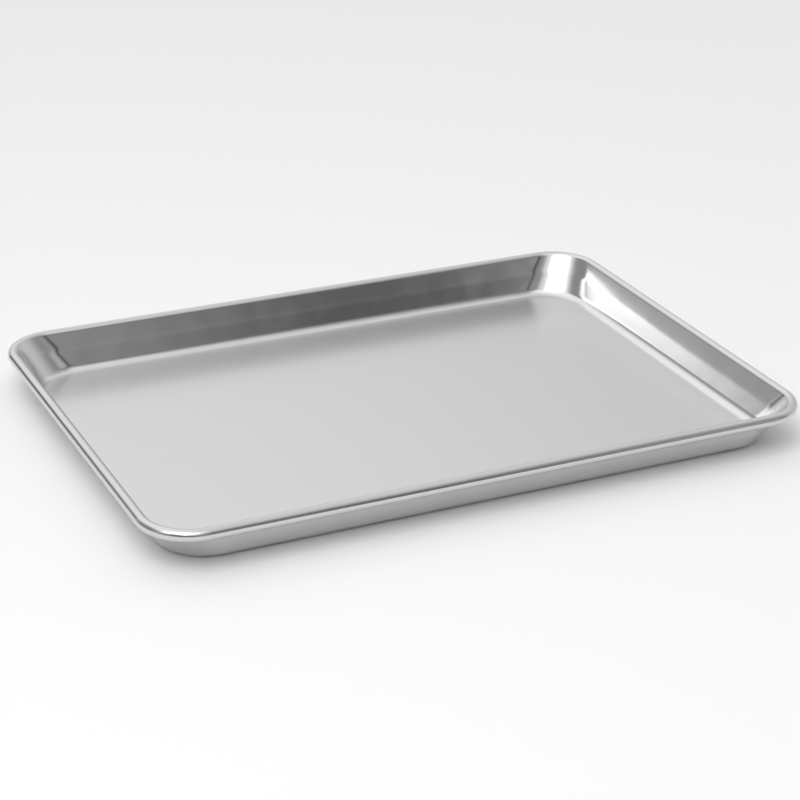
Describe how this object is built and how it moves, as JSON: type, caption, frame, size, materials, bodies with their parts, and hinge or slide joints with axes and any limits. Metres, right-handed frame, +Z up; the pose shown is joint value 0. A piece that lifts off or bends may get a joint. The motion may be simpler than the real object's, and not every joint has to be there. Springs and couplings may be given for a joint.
{
  "type": "sheet pan",
  "caption": "Shallow rectangular sheet pan of drawn aluminium with leaning walls, rounded corners and a rim rolled round a steel wire, for baking and roasting.",
  "frame": {"origin": "middle of the base's underside, on the surface that the pan stands on", "axes": "+X along the pan's long side, +Y across it, +Z up out of the tray"},
  "size_m": [0.454, 0.327, 0.0286],
  "materials": {
    "pan_shell": "bright rolled sheet, satin on the base",
    "rim_wire": "galvanised"
  },
  "bodies": {
    "root": {"pan_shell": "pan_shell", "rim_wire": "rim_wire"}
  },
  "joints": []
}
